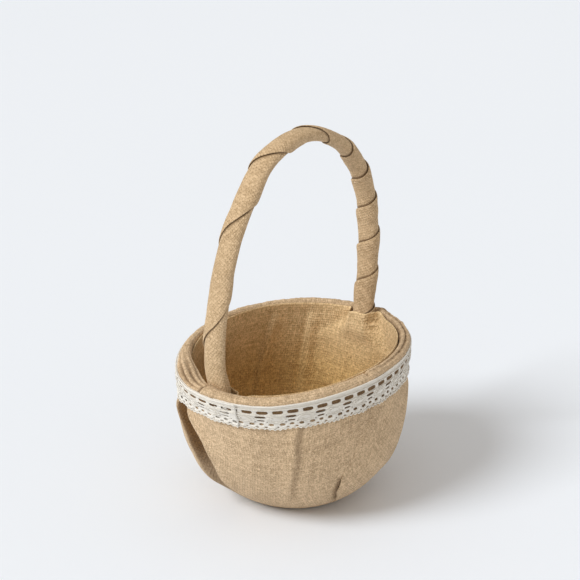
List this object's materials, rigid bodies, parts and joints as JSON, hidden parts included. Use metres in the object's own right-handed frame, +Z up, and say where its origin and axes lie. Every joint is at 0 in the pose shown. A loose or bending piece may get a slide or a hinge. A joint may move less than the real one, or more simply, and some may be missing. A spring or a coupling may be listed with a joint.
{
  "type": "flower girl basket",
  "caption": "Small oval burlap-covered bowl basket with a lace band under the rim and a tall cloth-wrapped arch handle.",
  "frame": {"origin": "on the surface the basket stands on, under the middle of the rim and inside the flat base", "axes": "+Z up; +X along the rim's long side, in the plane of the handle, towards the foot whose leg bows out; +Y completes the right-handed frame"},
  "size_m": [0.1786, 0.1467, 0.2534],
  "materials": {
    "burlap": "plain-woven natural jute, matt",
    "lining_burlap": "plain-woven natural jute, matt",
    "cotton_lace": "cream cotton torchon lace, matt",
    "pulp_board": "moulded paper pulp",
    "split_cane": "split cane, raw",
    "steel_wire": "drawn wire"
  },
  "bodies": {
    "root": {"outer_cover": "burlap", "rim_binding": "burlap", "handle_wrap": "burlap", "lining_wall": "lining_burlap", "lining_base": "lining_burlap", "lace_trim": "cotton_lace", "bowl_form": "pulp_board", "base_board": "pulp_board", "rim_wire": "steel_wire", "handle_core": "split_cane", "staple_left_upper": "steel_wire", "staple_left_lower": "steel_wire", "staple_right_upper": "steel_wire", "staple_right_lower": "steel_wire"}
  },
  "joints": []
}
